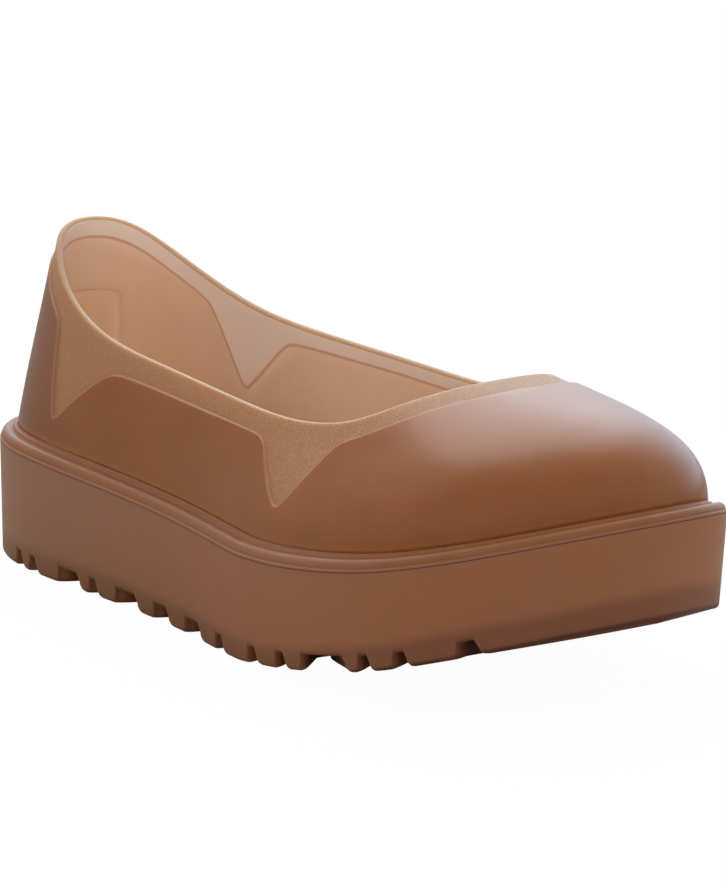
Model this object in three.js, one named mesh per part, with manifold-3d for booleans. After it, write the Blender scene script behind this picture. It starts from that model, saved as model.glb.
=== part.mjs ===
// Rubber overshoe for the right foot: a thin moulded upper, a welt and a lugged outsole.
// Millimetres. +X runs to the toe, +Y to the medial side and +Z up. The origin lies on the
// floor under the middle of the sole.
import * as THREE from 'three';
import { mergeVertices } from 'three/addons/utils/BufferGeometryUtils.js';
import Module from 'manifold-3d';

const wasm = await Module();
wasm.setup();

// Driving dimensions
const shoeLength = 290; // heel to toe, at the foot of the welt
const ballWidth = 116; // across the widest part, at the foot of the welt
const collarHeight = 101; // floor to the rim at the back of the heel
const sidewallHeight = 36.7; // side of the outsole at the heel
const outerRise = 1.3; // how far the tread's lateral edge stands off the ground at the ball
const toeCrown = 1.2; // how far the raised toe bulges down between its edges
const sidewallDraft = 1.4; // how far that side leans in from top to bottom, at the waist
const toeSpring = 29; // floor to the lower edge of the outsole at the toe
const weltWidth = 5.4; // ledge that stands out past the upper
const weltHeight = 5.2; // foot of the welt to the foot of the upper
const weltWall = 3.2; // thickness of the welt under the upper
const bandWall = 2.2; // wall of the upper in the recessed band under the rim
const panelRise = 0.8; // how far the panels stand out from that band
const panelBevel = 0.5; // width of the panels' sloped edge
const bandWidth = 8; // rim to the panels' upper edge, along the side
const notchDepth = 34; // rim to the point of the V notch behind the ankle
const cornerRound = 4; // softness of the panels' corners beside a notch
const labelWidth = 26; // blank pad at the back of the heel
const labelHeight = 17;
const labelTop = 24; // rim to the pad's upper edge
const labelRise = 0.8; // how far the pad stands out, and is hollowed inside
const soleWall = 3.6; // thickness of the outsole's side
const soleFloor = 6; // thickness of the outsole over the lugs
const lugDepth = 4.8; // depth of the grooves between the lugs
const lugBevel = 1.1; // bevel along the lower edge of the lugs
const grooveReach = 20; // how far in from the side a groove becomes as narrow as its channel
const channelWidth = 4.4; // width of the grooves' channels across the middle of the sole
const seamGap = 0.3; // clearance where two mouldings meet

// Turns rows of numbers into objects with named columns.
const table = (columns, rows) =>
  rows.map((row) => Object.fromEntries(columns.map((name, i) => [name, row[i]])));

// Ribs of the upper, from the heel to the toe. A rib climbs from its foot on the welt to the
// rim, once on the lateral and once on the medial side. Along and rimAlong are shares of
// shoeLength, the four widths shares of ballWidth, rimRise of collarHeight and band of
// bandWidth. Lean is the rib's run inwards for its rise at the foot, low and high are the
// reach of its curve's two handles, and tilt is its slope at the rim in degrees.
const ribs = table(
  ['along', 'lateral', 'medial', 'rimAlong', 'rimLateral', 'rimMedial',
    'rimRise', 'lean', 'low', 'high', 'tilt', 'band'],
  [
    [0.000, 0.037, 0.037, 0.059, 0.034, 0.034, 1.000, 0.18, 0.33, 0.33, 81, 0.90],
    [0.035, -0.195, 0.268, 0.083, -0.094, 0.158, 0.970, 0.18, 0.33, 0.33, 80, 0.95],
    [0.105, -0.292, 0.366, 0.131, -0.170, 0.234, 0.880, 0.19, 0.33, 0.33, 76, 1.02],
    [0.205, -0.327, 0.398, 0.215, -0.222, 0.282, 0.781, 0.17, 0.33, 0.33, 68, 0.94],
    [0.330, -0.347, 0.391, 0.330, -0.248, 0.310, 0.736, 0.12, 0.36, 0.33, 66, 0.87],
    [0.460, -0.388, 0.415, 0.455, -0.272, 0.336, 0.714, 0.10, 0.38, 0.33, 62, 0.84],
    [0.585, -0.457, 0.462, 0.555, -0.287, 0.352, 0.699, 0.05, 0.42, 0.33, 55, 0.85],
    [0.705, -0.497, 0.497, 0.625, -0.284, 0.352, 0.707, 0.00, 0.48, 0.34, 43, 0.90],
    [0.815, -0.483, 0.484, 0.676, -0.254, 0.340, 0.738, 0.00, 0.57, 0.43, 30, 1.00],
    [0.907, -0.395, 0.420, 0.711, -0.186, 0.300, 0.787, 0.00, 0.66, 0.58, 14, 1.22],
    [0.972, -0.215, 0.305, 0.734, -0.075, 0.215, 0.824, 0.03, 0.62, 0.64, 7, 1.45],
    [1.000, 0.065, 0.065, 0.741, 0.070, 0.070, 0.835, 0.04, 0.62, 0.68, 3, 1.65],
  ],
);

// Side of the outsole. Along is a share of shoeLength, lift of toeSpring, side of
// sidewallHeight, draft of sidewallDraft and outer of outerRise.
const soleSections = table(
  ['along', 'lift', 'side', 'draft', 'outer'],
  [
    [0.00, 0.000, 0.964, 0.30, 0.00],
    [0.12, 0.000, 0.962, 0.40, 0.00],
    [0.25, 0.000, 0.938, 0.75, 0.00],
    [0.40, 0.000, 0.905, 1.00, 0.00],
    [0.50, 0.000, 0.890, 1.00, 0.05],
    [0.57, 0.000, 0.886, 1.00, 0.40],
    [0.63, 0.048, 0.874, 1.00, 0.95],
    [0.72, 0.195, 0.838, 1.05, 0.80],
    [0.81, 0.400, 0.792, 1.20, 0.15],
    [0.90, 0.665, 0.755, 1.40, 0.00],
    [1.00, 1.000, 0.730, 1.50, 0.00],
  ],
);

// V notches in the panels, on the lateral side (-1) and the medial side (1): the back corner,
// the point and the front corner, as shares of shoeLength at the foot of the upper, and the
// depth as a share of notchDepth.
const notches = table(
  ['side', 'back', 'point', 'front', 'depth'],
  [
    [-1, 0.137, 0.158, 0.262, 1.02],
    [-1, 0.583, 0.633, 0.758, 0.86],
    [1, 0.140, 0.175, 0.272, 1.05],
    [1, 0.583, 0.633, 0.758, 0.86],
  ],
);

// Grooves between the lugs: middle and width at the side, as shares of shoeLength, and how far
// they sweep to the toe on their way in, as a share of grooveReach.
const grooves = table(
  ['along', 'width', 'sweep'],
  [
    [0.126, 0.012, 0.30],
    [0.156, 0.012, 0.30],
    [0.226, 0.038, 0.30],
    [0.272, 0.012, 0.30],
    [0.336, 0.040, 0.30],
    [0.405, 0.029, 0.25],
    [0.475, 0.034, 0.10],
    [0.539, 0.015, -0.05],
    [0.614, 0.015, -0.45],
    [0.670, 0.015, -0.75],
    [0.744, 0.070, -1.40],
    [0.801, 0.012, -0.90],
    [0.844, 0.012, -0.90],
    [0.907, 0.014, -0.95],
  ],
);

// Cross-section of the welt's outer face, from its foot to the crease under the upper, as
// shares of weltWidth inwards and of weltHeight up: lip, shoulder, groove and bead.
const weltSections = table(
  ['inward', 'up'],
  [
    [0.00, 0.00],
    [0.00, 0.14],
    [0.05, 0.20],
    [0.07, 0.32],
    [0.18, 0.53],
    [0.36, 0.67],
    [0.55, 0.70],
    [0.70, 0.65],
    [0.84, 0.80],
    [1.00, 0.90],
  ],
);

// Cubic with the given ends and end slopes.
function hermite(from, to, slopeFrom, slopeTo, share) {
  const square = share * share;
  const cube = square * share;
  return from * (2 * cube - 3 * square + 1) + slopeFrom * (cube - 2 * square + share)
    + to * (3 * square - 2 * cube) + slopeTo * (cube - square);
}

// Smooth closed curve through the values, with continuous curvature.
function closedSpline(knots, values) {
  const count = values.length;
  const passes = 40;
  const gap = values.map((_, i) => knots[i + 1] - knots[i]);
  const chord = values.map((value, i) => (values[(i + 1) % count] - value) / gap[i]);
  const slope = [...chord];
  for (let pass = 0; pass < passes; pass += 1) {
    for (let i = 0; i < count; i += 1) {
      const last = (i + count - 1) % count;
      const next = (i + 1) % count;
      const pull = 3 * (gap[i] * chord[last] + gap[last] * chord[i]);
      const held = gap[i] * slope[last] + gap[last] * slope[next];
      slope[i] = (pull - held) / (2 * (gap[last] + gap[i]));
    }
  }
  return (rib) => {
    const i = Math.floor(rib) % count;
    const next = (i + 1) % count;
    const share = rib - Math.floor(rib);
    return hermite(values[i], values[next], slope[i] * gap[i], slope[next] * gap[i], share);
  };
}

// Smooth open curve through a column of a table, without overshoot.
function sectionCurve(rows, column) {
  const gap = rows.slice(1).map((row, i) => row.along - rows[i].along);
  const rise = gap.map((width, i) => (rows[i + 1][column] - rows[i][column]) / width);
  const slope = rows.map((_, i) => {
    const before = rise[Math.max(i - 1, 0)];
    const after = rise[Math.min(i, rise.length - 1)];
    return before * after > 0 ? (2 * before * after) / (before + after) : 0;
  });
  return (along) => {
    const place = Math.min(Math.max(along, 0), 1);
    const i = Math.min(rows.findLastIndex((row) => row.along <= place), gap.length - 1);
    const share = (place - rows[i].along) / gap[i];
    const from = rows[i][column];
    const to = rows[i + 1][column];
    return hermite(from, to, slope[i] * gap[i], slope[i + 1] * gap[i], share);
  };
}

// The ribs in their order round the shoe: heel, lateral side, toe, medial side.
const toeRib = ribs.length - 1;
const ribCount = 2 * toeRib;
const roundRibs = Array.from({ length: ribCount }, (_, i) => {
  const lateral = i <= toeRib;
  const row = ribs[lateral ? i : ribCount - i];
  return {
    ...row,
    across: lateral ? row.lateral : row.medial,
    rimAcross: lateral ? row.rimLateral : row.rimMedial,
  };
});
const footX = (row) => (row.along - 0.5) * shoeLength;
const footY = (row) => row.across * ballWidth;
const knots = [0];
roundRibs.forEach((row, i) => {
  const next = roundRibs[(i + 1) % ribCount];
  knots.push(knots[i] + Math.hypot(footX(next) - footX(row), footY(next) - footY(row)));
});
const splineOf = (value) => closedSpline(knots, roundRibs.map(value));
const around = {
  x: splineOf(footX),
  y: splineOf(footY),
  rimX: splineOf((row) => (row.rimAlong - 0.5) * shoeLength),
  rimY: splineOf((row) => row.rimAcross * ballWidth),
  rimZ: splineOf((row) => row.rimRise * collarHeight),
  lean: splineOf((row) => row.lean),
  low: splineOf((row) => row.low),
  high: splineOf((row) => row.high),
  tilt: splineOf((row) => row.tilt),
  band: splineOf((row) => row.band * bandWidth),
};

// Heights of the outsole at a place along the shoe.
const liftShare = sectionCurve(soleSections, 'lift');
const sideShare = sectionCurve(soleSections, 'side');
const draftShare = sectionCurve(soleSections, 'draft');
const outerShare = sectionCurve(soleSections, 'outer');
const soleBottom = (x) => liftShare(x / shoeLength + 0.5) * toeSpring;
const weltFoot = (x) => soleBottom(x) + sideShare(x / shoeLength + 0.5) * sidewallHeight;
const draftAt = (rib) => draftShare(around.x(rib) / shoeLength + 0.5) * sidewallDraft;
const outerAt = (x) => outerShare(x / shoeLength + 0.5) * outerRise;

// Point on the outline of the welt's foot, moved inwards and set at a height.
const nudge = 0.001;
function outlinePoint(rib, inward, height) {
  const place = (rib + ribCount) % ribCount;
  const ahead = (place + nudge) % ribCount;
  const behind = (place + ribCount - nudge) % ribCount;
  const run = new THREE.Vector2(
    around.x(ahead) - around.x(behind),
    around.y(ahead) - around.y(behind),
  ).normalize();
  const x = around.x(place) - run.y * inward;
  const y = around.y(place) + run.x * inward;
  return new THREE.Vector3(x, y, height(x));
}

// The upper's band surface: rib round the shoe, and share of the way from its foot to the rim.
const footWall = panelRise + bandWall;
const upperFoot = (x) => weltFoot(x) + weltHeight;
function ribCurve(rib) {
  const place = (rib + ribCount) % ribCount;
  const foot = outlinePoint(place, weltWidth + panelRise, upperFoot);
  const rim = new THREE.Vector3(around.rimX(place), around.rimY(place), around.rimZ(place));
  const reach = foot.distanceTo(rim);
  const inward = new THREE.Vector3(rim.x - foot.x, rim.y - foot.y, 0).normalize();
  const up = new THREE.Vector3(0, 0, 1);
  const lean = up.clone().addScaledVector(inward, around.lean(place)).normalize();
  const tilt = THREE.MathUtils.degToRad(around.tilt(place));
  const slope = inward.clone().multiplyScalar(Math.cos(tilt)).addScaledVector(up, Math.sin(tilt));
  const low = foot.clone().addScaledVector(lean, around.low(place) * (rim.z - foot.z));
  const high = rim.clone().addScaledVector(slope, -around.high(place) * reach);
  return new THREE.CubicBezierCurve3(foot, low, high, rim);
}
const skinPoint = (rib, share) => ribCurve(rib).getPoint(share);

// Point on the upper, moved out from the band surface by an offset. At the foot it moves level.
function wallPoint(rib, share, offset) {
  if (share === 0) {
    return outlinePoint(rib, weltWidth + panelRise - offset, upperFoot);
  }
  const below = Math.max(share - nudge, 0);
  const above = Math.min(share + nudge, 1);
  const round = skinPoint(rib + nudge, share).sub(skinPoint(rib - nudge, share));
  const climb = skinPoint(rib, above).sub(skinPoint(rib, below));
  const normal = round.cross(climb).normalize();
  return skinPoint(rib, share).addScaledVector(normal, offset);
}

// Share of the way up a rib that lies a distance below the rim, measured along the rib.
function shareBelowRim(rib, distance) {
  const curve = ribCurve(rib);
  const steps = 60;
  const lengths = curve.getLengths(steps);
  const target = lengths[steps] - distance;
  const last = lengths.findLastIndex((length) => length <= target);
  const i = Math.min(Math.max(last, 0), steps - 1);
  return (i + (target - lengths[i]) / (lengths[i + 1] - lengths[i])) / steps;
}

// Rib at a share of shoeLength along the foot, on the way from the heel to the toe.
function ribAt(along) {
  const i = Math.min(ribs.findLastIndex((row) => row.along <= along), toeRib - 1);
  return i + (along - ribs[i].along) / (ribs[i + 1].along - ribs[i].along);
}

// Depth of the panels' upper edge below the rim: the band, and the V notches in it.
const notchRibs = notches.map((notch) => ({
  ...notch,
  back: ribAt(notch.back),
  point: ribAt(notch.point),
  front: ribAt(notch.front),
  depth: notch.depth * notchDepth,
}));
function panelEdge(rib) {
  const lateral = rib <= toeRib;
  const place = lateral ? rib : ribCount - rib;
  const own = notchRibs.filter((notch) => (notch.side < 0) === lateral);
  return own.reduce((depth, notch) => {
    const back = (place - notch.back) / (notch.point - notch.back);
    const front = (notch.front - place) / (notch.front - notch.point);
    const cut = bandWidth + (notch.depth - bandWidth) * Math.min(back, front);
    return (depth + cut + Math.hypot(depth - cut, cornerRound)) / 2;
  }, around.band(rib));
}

// Rib at which the label ends on the lateral and on the medial side of the heel.
function labelRib(direction, width) {
  const share = shareBelowRim(0, labelTop + labelHeight / 2);
  const middle = skinPoint(0, share);
  let near = 0;
  let far = 1;
  while (far - near > nudge) {
    const rib = (near + far) / 2;
    const reach = skinPoint(direction * rib, share).distanceTo(middle);
    near = reach < width / 2 ? rib : near;
    far = reach < width / 2 ? far : rib;
  }
  return direction * near;
}

// Columns of the solids, as places among the ribs: a few in each bay between two ribs, and
// one at each corner of the panels and of the label.
const bayColumns = 4;
const columnRoom = 0.6 / bayColumns;
const notchCorners = notchRibs.flatMap((notch) => {
  const shoulder = (notch.point - notch.back) / 3;
  const corners = [notch.back, notch.back + shoulder, notch.point, notch.front];
  return corners.map((rib) => (notch.side < 0 ? rib : ribCount - rib));
});
const labelEdges = [labelWidth, labelWidth + 2 * panelBevel];
const cornerRibs = [
  0,
  toeRib,
  ...notchCorners,
  ...labelEdges.map((width) => labelRib(1, width)),
  ...labelEdges.map((width) => ribCount + labelRib(-1, width)),
];
const apart = (a, b) => Math.min(Math.abs(a - b), ribCount - Math.abs(a - b));
const bayRibs = Array.from({ length: ribCount * bayColumns }, (_, i) => i / bayColumns);
const columns = [
  ...cornerRibs,
  ...bayRibs.filter((rib) => cornerRibs.every((corner) => apart(rib, corner) > columnRoom)),
].sort((a, b) => a - b);
const toeColumn = columns.indexOf(toeRib);

// Geometry from rows of points, one point for each column. A closed grid joins its last row
// to its first.
function gridFaces(rows, closed) {
  const faces = [];
  const count = columns.length;
  const last = closed ? rows.length : rows.length - 1;
  for (let r = 0; r < last; r += 1) {
    const above = (r + 1) % rows.length;
    for (let c = 0; c < count; c += 1) {
      const next = (c + 1) % count;
      const [a, b] = [r * count + c, r * count + next];
      const [d, e] = [above * count + c, above * count + next];
      faces.push(a, b, e, a, e, d);
    }
  }
  return faces;
}
function geometryFrom(points, faces) {
  const geometry = new THREE.BufferGeometry();
  geometry.setAttribute(
    'position',
    new THREE.Float32BufferAttribute(points.flatMap((point) => point.toArray()), 3),
  );
  geometry.setIndex(faces);
  geometry.computeVertexNormals();
  return geometry;
}

// Upper: one wall from its foot on the welt up to the rounded rim and down inside again. The
// panels and the label are steps in that wall.
const labelHalf = [labelRib(1, labelWidth + panelBevel), labelRib(-1, labelWidth + panelBevel)];
function onLabel(rib, share) {
  const place = rib > toeRib ? rib - ribCount : rib;
  const top = shareBelowRim(rib, labelTop - panelBevel / 2);
  const bottom = shareBelowRim(rib, labelTop + labelHeight + panelBevel / 2);
  return place < labelHalf[0] && place > labelHalf[1] && share < top && share > bottom;
}
function makeUpper() {
  const rimRound = bandWall / 2;
  const panelShares = [0, 0.1, 0.24, 0.38];
  const labelDepths = [
    labelTop + labelHeight + panelBevel,
    labelTop + labelHeight,
    labelTop,
    labelTop - panelBevel,
  ];
  const heelLength = ribCurve(0).getLength();
  const edgeDepth = panelEdge(0);
  // Rows of the panels as shares of the way from the foot to the panels' upper edge, so that
  // four of them pass along the label.
  const labelShares = labelDepths.map((depth) => (heelLength - depth) / (heelLength - edgeDepth));
  const shares = [...panelShares.filter((share) => share < labelShares[0]), ...labelShares];
  const panelRow = (share, offset, hollow) => columns.map((rib) => {
    const length = ribCurve(rib).getLength();
    const height = share * (length - panelEdge(rib));
    const place = shareBelowRim(rib, length - height);
    const lift = onLabel(rib, place) ? hollow : 0;
    return wallPoint(rib, share === 0 ? 0 : place, offset + lift);
  });
  const rimRow = (depthOf, offset) =>
    columns.map((rib) => wallPoint(rib, shareBelowRim(rib, depthOf(rib)), offset));
  const bevelTop = (rib) => panelEdge(rib) - panelBevel;
  const rows = [
    ...shares.map((share) => panelRow(share, panelRise, labelRise)),
    rimRow(panelEdge, panelRise),
    rimRow(bevelTop, 0),
    rimRow(() => rimRound, 0),
    rimRow(() => rimRound * 0.3, -bandWall * 0.15),
    rimRow(() => 0, -bandWall / 2),
    rimRow(() => rimRound * 0.3, -bandWall * 0.85),
    rimRow(() => rimRound, -bandWall),
    rimRow(panelEdge, -bandWall),
    ...[...shares].reverse().map((share) => panelRow(share, -bandWall, labelRise)),
  ];
  return geometryFrom(rows.flat(), gridFaces(rows, true));
}

// Welt: a ring that carries the upper on its seat and stands on the rim of the outsole.
function makeWelt() {
  const seat = weltHeight - seamGap;
  const seatInner = weltWidth + footWall;
  const section = [
    ...weltSections.map((row) => [row.inward * weltWidth, row.up * weltHeight]),
    [weltWidth, seat],
    [seatInner, seat],
    [seatInner, weltHeight - weltWall],
    [soleWall, 0],
  ];
  const rows = section.map(([inward, up]) =>
    columns.map((rib) => outlinePoint(rib, inward, (x) => weltFoot(x) + up)));
  return geometryFrom(rows.flat(), gridFaces(rows, true));
}

// Outsole: a cup whose side carries the welt, over a floor with lugs.
function makeSoleCup() {
  const acrossSteps = 6;
  const floorTop = (x) => soleBottom(x) + lugDepth + soleFloor;
  const rim = (x) => weltFoot(x) - seamGap;
  const section = [
    [(rib) => draftAt(rib) + lugBevel, soleBottom],
    [draftAt, (x) => soleBottom(x) + lugBevel],
    [() => 0, rim],
    [() => soleWall, rim],
    [(rib) => soleWall + draftAt(rib), (x) => floorTop(x) + soleWall / 2],
    [(rib) => 1.5 * soleWall + draftAt(rib), floorTop],
  ];
  const rows = section.map(([inward, height]) =>
    columns.map((rib) => outlinePoint(rib, inward(rib), height)));
  // The lug's two rows rise with the tread's lateral edge.
  rows.slice(0, 2).forEach((row) => {
    row.filter((_, i) => columns[i] < toeRib).forEach((point) => {
      point.z += outerAt(point.x);
    });
  });
  const points = rows.flat();
  const faces = gridFaces(rows, false);
  const count = columns.length;
  // Closes a row with lines across the shoe from the lateral to the medial side.
  function closeRow(rowIndex, height, facesUp) {
    const start = rowIndex * count;
    const lines = Array.from({ length: toeColumn + 1 }, (_, i) => {
      const from = start + i;
      const to = start + ((count - i) % count);
      return Array.from({ length: acrossSteps + 1 }, (__, k) => {
        if (k === 0 || from === to || i === toeColumn) {
          return from;
        }
        if (k === acrossSteps) {
          return to;
        }
        const share = k / acrossSteps;
        const point = points[from].clone().lerp(points[to], share);
        const round = 4 * share * (1 - share) * liftShare(point.x / shoeLength + 0.5);
        point.z = height(point.x) - toeCrown * round;
        return points.push(point) - 1;
      });
    });
    for (let i = 0; i < toeColumn; i += 1) {
      for (let k = 0; k < acrossSteps; k += 1) {
        const [a, b] = [lines[i][k], lines[i + 1][k]];
        const [d, e] = [lines[i][k + 1], lines[i + 1][k + 1]];
        const pair = facesUp ? [[a, b, e], [a, e, d]] : [[a, e, b], [a, d, e]];
        pair.filter((face) => new Set(face).size === 3).forEach((face) => faces.push(...face));
      }
    }
  }
  closeRow(0, soleBottom, false);
  closeRow(rows.length - 1, floorTop, true);
  return geometryFrom(points, faces);
}

// Groove across the sole: wide at both sides, and swept in to a narrow channel in the middle.
function makeGroove(row) {
  const middle = (row.along - 0.5) * shoeLength;
  const sideHalf = (row.width * shoeLength) / 2;
  const channel = middle + row.sweep * grooveReach;
  const channelHalf = Math.min(channelWidth / 2, sideHalf);
  const edgeRib = ribAt(row.along);
  const mouths = [around.y(edgeRib), around.y(ribCount - edgeRib)];
  const inner = [mouths[0] + grooveReach, mouths[1] - grooveReach];
  const corners = [
    [middle + sideHalf, -ballWidth],
    [middle + sideHalf, mouths[0]],
    [channel + channelHalf, inner[0]],
    [channel + channelHalf, inner[1]],
    [middle + sideHalf, mouths[1]],
    [middle + sideHalf, ballWidth],
    [middle - sideHalf, ballWidth],
    [middle - sideHalf, mouths[1]],
    [channel - channelHalf, inner[1]],
    [channel - channelHalf, inner[0]],
    [middle - sideHalf, mouths[0]],
    [middle - sideHalf, -ballWidth],
  ];
  const shape = new THREE.Shape(corners.map(([x, y]) => new THREE.Vector2(x, y)));
  const geometry = new THREE.ExtrudeGeometry(shape, { depth: 1, bevelEnabled: false });
  const position = geometry.getAttribute('position');
  for (let i = 0; i < position.count; i += 1) {
    const outer = position.getY(i) < 0 ? outerAt(position.getX(i)) : 0;
    const roof = soleBottom(position.getX(i)) + lugDepth + outer;
    position.setZ(i, position.getZ(i) > 0 ? roof : -lugDepth);
  }
  return geometry;
}

// Booleans on closed meshes
function toSolid(geometry) {
  const bare = geometry.clone();
  bare.deleteAttribute('normal');
  bare.deleteAttribute('uv');
  const merged = mergeVertices(bare);
  return new wasm.Manifold(new wasm.Mesh({
    numProp: 3,
    vertProperties: new Float32Array(merged.getAttribute('position').array),
    triVerts: new Uint32Array(merged.getIndex().array),
  }));
}
function fromSolid(solid) {
  const mesh = solid.getMesh();
  const geometry = new THREE.BufferGeometry();
  geometry.setAttribute('position', new THREE.Float32BufferAttribute(mesh.vertProperties, 3));
  geometry.setIndex([...mesh.triVerts]);
  geometry.computeVertexNormals();
  return geometry;
}
function makeOutsole() {
  const cup = toSolid(makeSoleCup());
  const lugged = grooves.reduce((solid, row) => solid.subtract(toSolid(makeGroove(row))), cup);
  return fromSolid(lugged);
}

// Materials and assembly
const upperRubber = new THREE.MeshStandardMaterial({ color: 0x8c5c3e, roughness: 0.45 });
const weltRubber = new THREE.MeshStandardMaterial({ color: 0x84583b, roughness: 0.45 });
const soleRubber = new THREE.MeshStandardMaterial({ color: 0x82583f, roughness: 0.55 });

const overshoe = new THREE.Group();
[
  ['upper', makeUpper(), upperRubber],
  ['welt', makeWelt(), weltRubber],
  ['outsole', makeOutsole(), soleRubber],
].forEach(([name, geometry, material]) => {
  const mesh = new THREE.Mesh(geometry, material);
  mesh.name = name;
  overshoe.add(mesh);
});

export default overshoe;
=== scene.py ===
# Rubber overshoe for the right foot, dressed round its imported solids. Shapes are worked out in
# millimetres in the frame of the solids: +X to the toe, +Y to the medial side, +Z up.
import math

import bmesh
import bpy
import numpy as np
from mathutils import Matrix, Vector


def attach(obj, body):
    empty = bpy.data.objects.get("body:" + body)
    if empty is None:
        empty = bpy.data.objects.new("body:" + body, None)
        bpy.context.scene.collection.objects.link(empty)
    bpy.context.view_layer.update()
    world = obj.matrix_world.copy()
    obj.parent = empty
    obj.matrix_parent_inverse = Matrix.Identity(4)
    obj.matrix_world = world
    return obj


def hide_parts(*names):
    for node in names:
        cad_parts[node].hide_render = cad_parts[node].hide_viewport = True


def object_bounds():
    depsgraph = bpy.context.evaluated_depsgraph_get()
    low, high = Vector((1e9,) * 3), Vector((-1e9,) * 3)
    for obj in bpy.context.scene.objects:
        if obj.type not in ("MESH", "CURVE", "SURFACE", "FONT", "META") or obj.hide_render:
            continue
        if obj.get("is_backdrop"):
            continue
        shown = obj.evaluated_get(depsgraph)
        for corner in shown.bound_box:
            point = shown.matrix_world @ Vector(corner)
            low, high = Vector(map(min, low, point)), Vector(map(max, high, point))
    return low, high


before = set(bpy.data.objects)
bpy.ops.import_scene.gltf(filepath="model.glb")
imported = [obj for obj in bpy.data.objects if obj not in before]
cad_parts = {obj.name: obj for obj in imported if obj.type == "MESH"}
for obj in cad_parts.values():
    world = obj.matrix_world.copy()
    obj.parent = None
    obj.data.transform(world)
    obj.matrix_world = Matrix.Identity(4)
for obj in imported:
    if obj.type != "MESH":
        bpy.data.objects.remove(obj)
solids_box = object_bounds()

# Outsole
# One deep block of tan rubber, press moulded with its lugs and side wall in a matt mould, and
# bonded under the welt. Its outline is the outline of the last, so the ribs that the whole
# shoe is drawn on are given here.
millimetre = 0.001
shoe_length = 290.0
ball_width = 116.0
collar_height = 101.0
sidewall_height = 36.7
sidewall_draft = 1.4
toe_spring = 29.0
outer_rise = 1.3
outer_reach = 40.0
toe_crown = 1.2
band_width = 8.0
sole_wall = 3.6
sole_floor = 6.0
lug_depth = 4.8
sole_gap = 0.04
groove_reach = 20.0
channel_width = 4.4
lug_round = 1.7
groove_round = 0.6
heel_corner = 0.3
toe_corner = 1.0
corner_reach = 1.2
weld_distance = 0.002
rim_round = 0.1
floor_round = 2.0
wall_steps = 12
station_step = 2.2
end_stations = 30
side_samples = 6001
heel_end = 0.095
toe_end = 0.962
half_ball = 38.0
heel_wall_slant = 0.2
toe_wall_slant = 0.7
steepest_slant = 1.7


def eased(value):
    """Share from 0 to 1 that starts and stops softly."""
    value = np.clip(value, 0.0, 1.0)
    return value * value * (3 - 2 * value)


def hermite(start, end, slope_start, slope_end, share):
    """Cubic with the given ends and end slopes."""
    square = share * share
    cube = square * share
    return (
        start * (2 * cube - 3 * square + 1)
        + slope_start * (cube - 2 * square + share)
        + end * (3 * square - 2 * cube)
        + slope_end * (cube - square)
    )


def closed_spline(knots, values):
    """Smooth closed curve through the values; the knots hold one more, where it closes."""
    count = len(values)
    gap = np.diff(knots)
    chord = (np.roll(values, -1) - values) / gap
    held = np.zeros((count, count))
    pull = np.zeros(count)
    for i in range(count):
        held[i, i - 1] += gap[i]
        held[i, i] += 2 * (gap[i - 1] + gap[i])
        held[i, (i + 1) % count] += gap[i - 1]
        pull[i] = 3 * (gap[i] * chord[i - 1] + gap[i - 1] * chord[i])
    slope = np.linalg.solve(held, pull)

    def curve(place):
        i = np.floor(place).astype(int) % count
        after = (i + 1) % count
        return hermite(
            values[i], values[after], slope[i] * gap[i], slope[after] * gap[i], place % 1.0
        )

    return curve


def section_curve(along, values):
    """Smooth open curve through the values, without overshoot."""
    gap = np.diff(along)
    rise = np.diff(values) / gap
    before = np.concatenate([rise[:1], rise])
    after = np.concatenate([rise, rise[-1:]])
    both = before * after
    total = np.where(both > 0, before + after, 1.0)
    slope = np.where(both > 0, 2 * both / total, 0.0)

    def curve(place):
        place = np.clip(place, 0.0, 1.0)
        i = np.clip(np.searchsorted(along, place, side="right") - 1, 0, len(gap) - 1)
        share = (place - along[i]) / gap[i]
        return hermite(values[i], values[i + 1], slope[i] * gap[i], slope[i + 1] * gap[i], share)

    return curve


def columns_of(names, rows):
    """Turns a table into one array for each named column."""
    return {name: np.array([row[i] for row in rows]) for i, name in enumerate(names)}


# Ribs of the upper, from the heel to the toe: foot on the welt and rim, on both sides.
ribs = columns_of(
    ("along", "lateral", "medial", "rim_along", "rim_lateral", "rim_medial",
     "rim_rise", "lean", "low", "high", "tilt", "band"),
    [
        (0.000, 0.037, 0.037, 0.059, 0.034, 0.034, 1.000, 0.18, 0.33, 0.33, 81, 0.90),
        (0.035, -0.195, 0.268, 0.083, -0.094, 0.158, 0.970, 0.18, 0.33, 0.33, 80, 0.95),
        (0.105, -0.292, 0.366, 0.131, -0.170, 0.234, 0.880, 0.19, 0.33, 0.33, 76, 1.02),
        (0.205, -0.327, 0.398, 0.215, -0.222, 0.282, 0.781, 0.17, 0.33, 0.33, 68, 0.94),
        (0.330, -0.347, 0.391, 0.330, -0.248, 0.310, 0.736, 0.12, 0.36, 0.33, 66, 0.87),
        (0.460, -0.388, 0.415, 0.455, -0.272, 0.336, 0.714, 0.10, 0.38, 0.33, 62, 0.84),
        (0.585, -0.457, 0.462, 0.555, -0.287, 0.352, 0.699, 0.05, 0.42, 0.33, 55, 0.85),
        (0.705, -0.497, 0.497, 0.625, -0.284, 0.352, 0.707, 0.00, 0.48, 0.34, 43, 0.90),
        (0.815, -0.483, 0.484, 0.676, -0.254, 0.340, 0.738, 0.00, 0.57, 0.43, 30, 1.00),
        (0.907, -0.395, 0.420, 0.711, -0.186, 0.300, 0.787, 0.00, 0.66, 0.58, 14, 1.22),
        (0.972, -0.215, 0.305, 0.734, -0.075, 0.215, 0.824, 0.03, 0.62, 0.64, 7, 1.45),
        (1.000, 0.065, 0.065, 0.741, 0.070, 0.070, 0.835, 0.04, 0.62, 0.68, 3, 1.65),
    ],
)
toe_rib = len(ribs["along"]) - 1
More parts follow.
